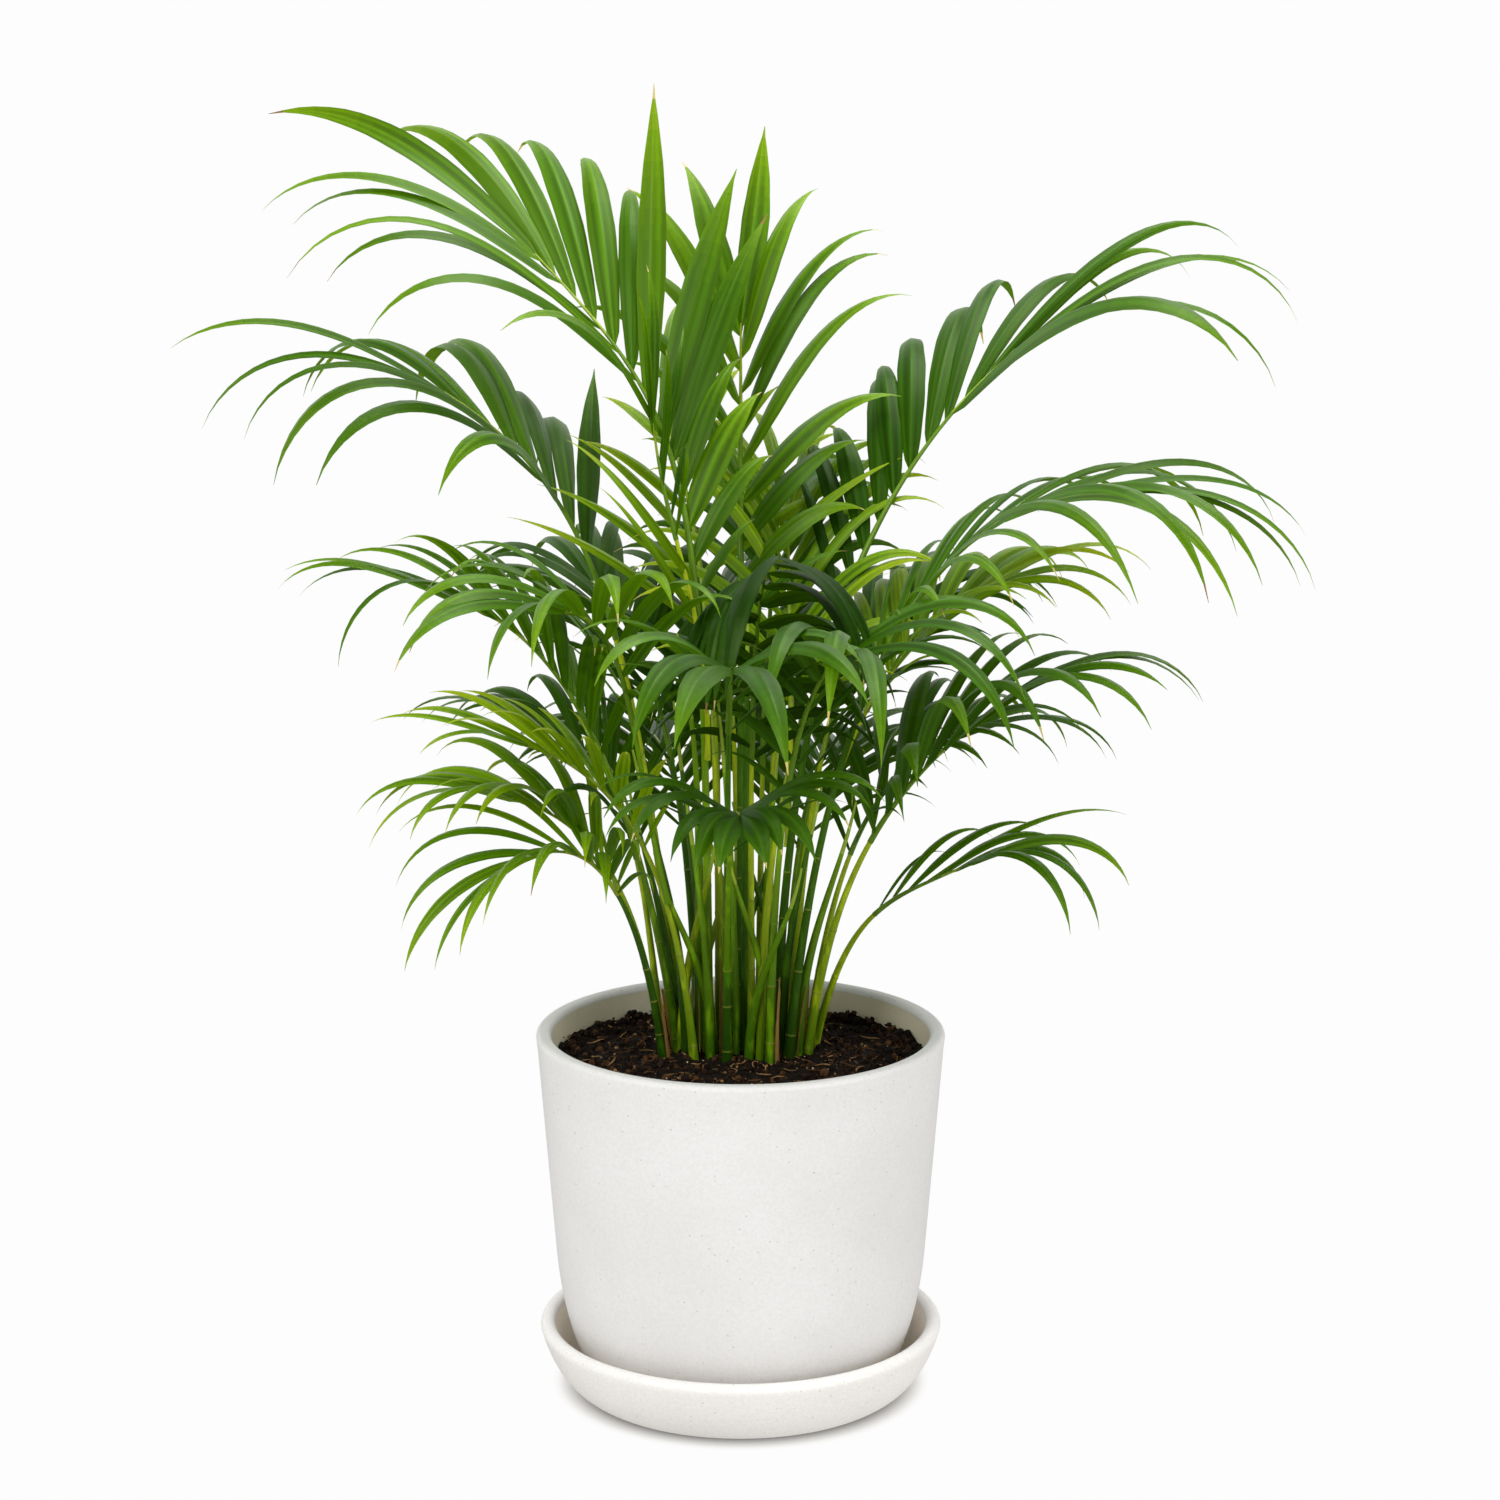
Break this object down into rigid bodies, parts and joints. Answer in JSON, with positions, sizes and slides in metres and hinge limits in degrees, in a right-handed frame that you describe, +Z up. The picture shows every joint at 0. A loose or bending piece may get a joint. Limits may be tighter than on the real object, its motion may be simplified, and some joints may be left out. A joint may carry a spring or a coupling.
{
  "type": "potted areca palm",
  "caption": "Clump-forming areca palm with slender canes and arching feathery fronds, growing in a tapered white stoneware pot on a matching saucer.",
  "frame": {"origin": "centre of the saucer's flat underside, on the axis of the pot", "axes": "+Z up along the pot's axis, -Y towards the viewer of the front, +X to that viewer's right"},
  "size_m": [0.8174, 0.7516, 0.9478],
  "materials": {
    "stoneware": "matte",
    "soil": "matte",
    "cane": "satin",
    "foliage": "satin"
  },
  "bodies": {
    "root": {"saucer": "stoneware", "pot": "stoneware", "soil": "soil", "cane_crown_left": "cane", "cane_upper_left": "cane", "cane_crown_back": "cane", "petiole_crown_spear": "cane", "cane_crown_right": "cane", "cane_upper_right": "cane", "cane_middle_right": "cane", "cane_low_right": "cane", "cane_middle_left": "cane", "cane_lower_left": "cane", "cane_low_left": "cane", "petiole_low_left_inner": "cane", "cane_front_upper": "cane", "cane_front_middle": "cane", "petiole_front_low": "cane", "cane_front_right": "cane", "petiole_front_left": "cane", "petiole_inner_right": "cane", "petiole_inner_back": "cane", "cane_back_upper_left": "cane", "cane_back_upper_right": "cane", "petiole_back_middle": "cane", "cane_back_right": "cane", "cane_back_left": "cane", "petiole_back_low_right": "cane", "petiole_back_low_left": "cane", "cane_side_low_right": "cane", "cane_side_low_left": "cane", "frond_crown_left": "foliage", "frond_upper_left": "foliage", "frond_crown_back": "foliage", "frond_crown_spear": "foliage", "frond_crown_right": "foliage", "frond_upper_right": "foliage", "frond_middle_right": "foliage", "frond_low_right": "foliage", "frond_middle_left": "foliage", "frond_lower_left": "foliage", "frond_low_left": "foliage", "frond_low_left_inner": "foliage", "frond_front_upper": "foliage", "frond_front_middle": "foliage", "frond_front_low": "foliage", "frond_front_right": "foliage", "frond_front_left": "foliage", "frond_inner_right": "foliage", "frond_inner_back": "foliage", "frond_back_upper_left": "foliage", "frond_back_upper_right": "foliage", "frond_back_middle": "foliage", "frond_back_right": "foliage", "frond_back_left": "foliage", "frond_back_low_right": "foliage", "frond_back_low_left": "foliage", "frond_side_low_right": "foliage", "frond_side_low_left": "foliage"}
  },
  "joints": []
}
